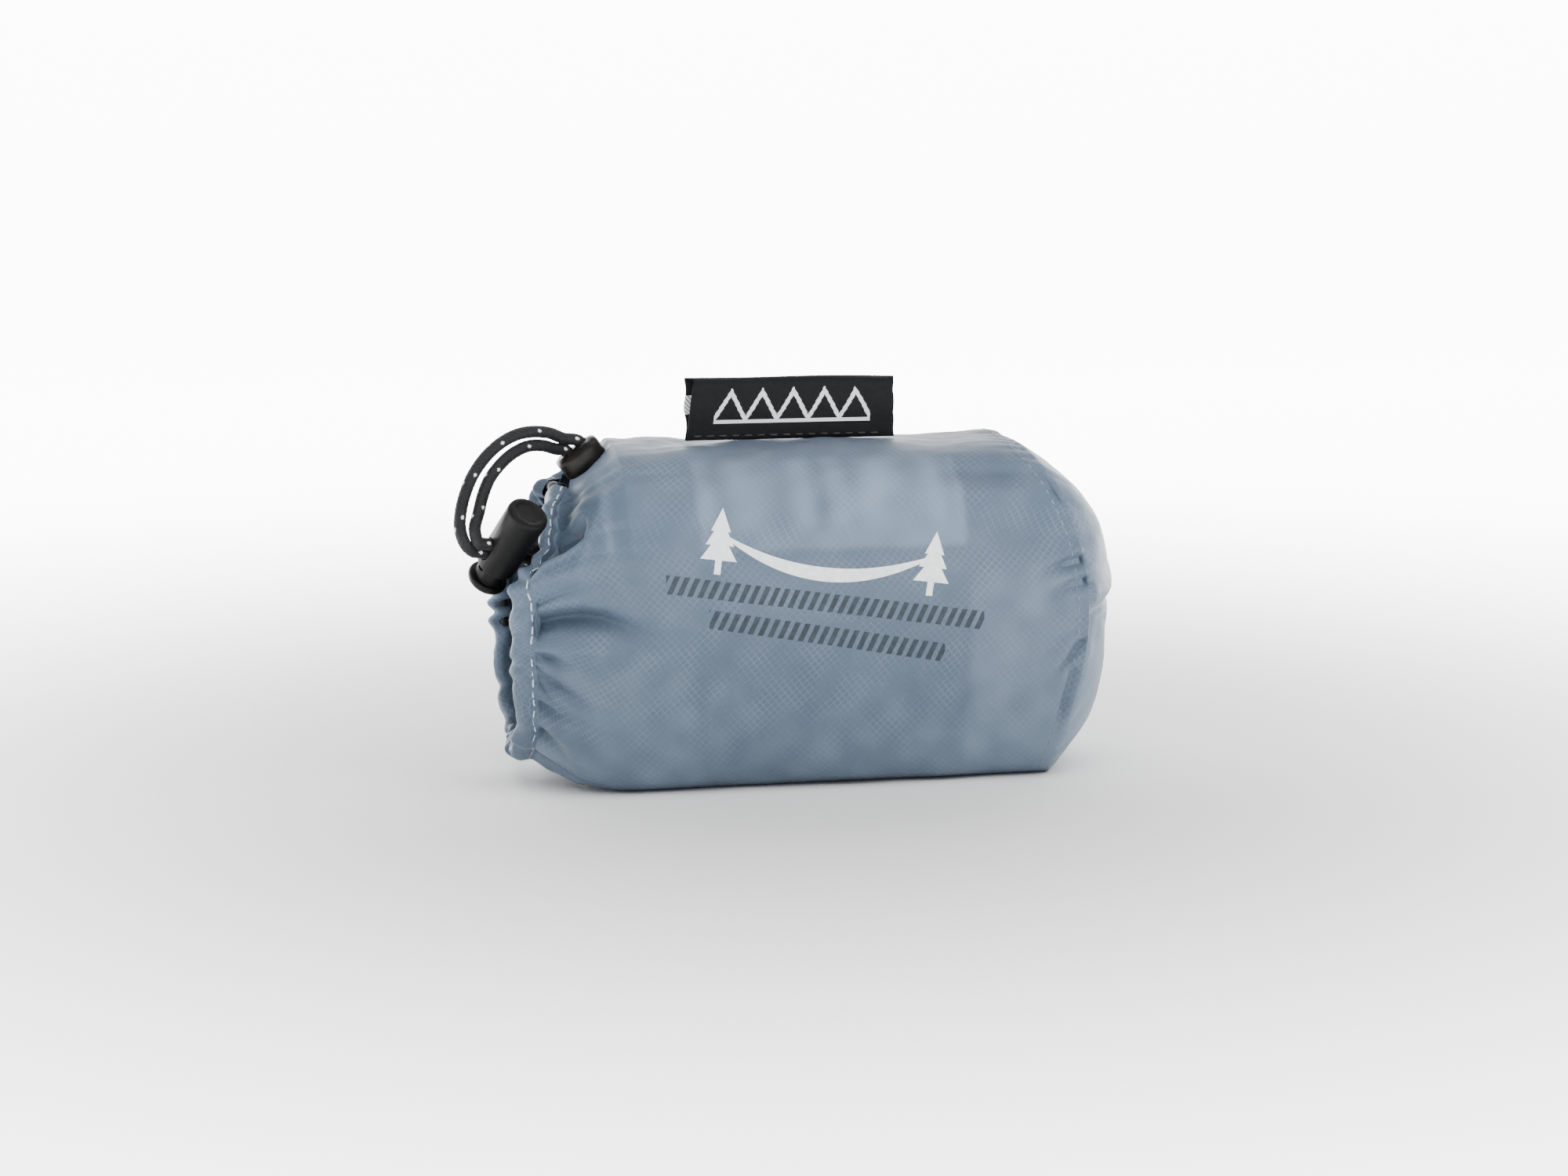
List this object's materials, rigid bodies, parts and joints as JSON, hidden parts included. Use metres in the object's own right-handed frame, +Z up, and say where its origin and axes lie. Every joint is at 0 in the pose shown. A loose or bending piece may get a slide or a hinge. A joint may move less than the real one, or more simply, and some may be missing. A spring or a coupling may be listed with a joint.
{
  "type": "packed hammock strap kit",
  "caption": "Soft ripstop stuff sack lying on its side, packed with rolled hammock tree straps and slings, with a drawcord mouth, cord lock and folded label.",
  "frame": {"origin": "on the resting face, midway along the sack and midway front to back", "axes": "+X along the sack from its mouth to its base, -Y the front with the print, +Z up to the ridge seam and label"},
  "size_m": [0.1576, 0.057, 0.0931],
  "materials": {
    "ripstop": "coated diamond ripstop nylon, slight sheen",
    "ripstop_inside": "folded ripstop edge",
    "seam_thread": "polyester thread",
    "hem_thread": "white polyester thread",
    "guard_tape": "smooth black tape",
    "label_tape": "black damask weave",
    "label_thread": "black thread",
    "care_label": "white satin tape",
    "drawcord": "black braid with white tracers",
    "lock_plastic": "moulded acetal, fine spark texture",
    "spring_wire": "drawn wire",
    "webbing": "flat polyester webbing",
    "bartack_thread": "thread",
    "sling_cord": "hollow braid"
  },
  "bodies": {
    "sack": {"sack_body": "ripstop", "base_panel": "ripstop", "base_seam_allowance": "ripstop_inside", "base_seam_stitches": "seam_thread", "top_seam_allowance": "ripstop_inside", "mouth_hem": "ripstop", "hem_stitches": "hem_thread", "cord_exit_guard": "guard_tape", "care_label": "care_label", "drawcord_loop": "drawcord", "drawcord_tail_upper": "drawcord", "drawcord_tail_lower": "drawcord", "drawcord_knot": "drawcord", "tree_strap_left": "webbing", "tree_strap_right": "webbing", "tree_strap_left_bartacks": "bartack_thread", "tree_strap_right_bartacks": "bartack_thread", "whoopie_sling_lower": "sling_cord", "whoopie_sling_upper": "sling_cord"},
    "cord_lock": {"cord_lock_barrel": "lock_plastic", "cord_lock_spring": "spring_wire"},
    "plunger": {"cord_lock_plunger": "lock_plastic"},
    "label": {"label_loop": "label_tape", "label_stitches": "label_thread"}
  },
  "joints": [
    {"name": "cord_lock_slide", "type": "slide", "parent": "sack", "child": "cord_lock", "axis": [-0.9132, -0.3673, 0.1765], "range_m": [0, 0.002]},
    {"name": "plunger_press", "type": "slide", "parent": "cord_lock", "child": "plunger", "axis": [0.3714, -0.572, 0.7314], "range_m": [0, 0.0035], "stiffness_N_per_m": 600, "springref_m": -0.002, "deforming": ["cord_lock_spring"]},
    {"name": "label_loop_flex", "type": "hinge", "parent": "sack", "child": "label", "pos_m": [-0.0043, 0, 0.0789], "axis": [1, 0, 0], "range_deg": [-55, 55], "stiffness_Nm_per_rad": 0.002}
  ]
}
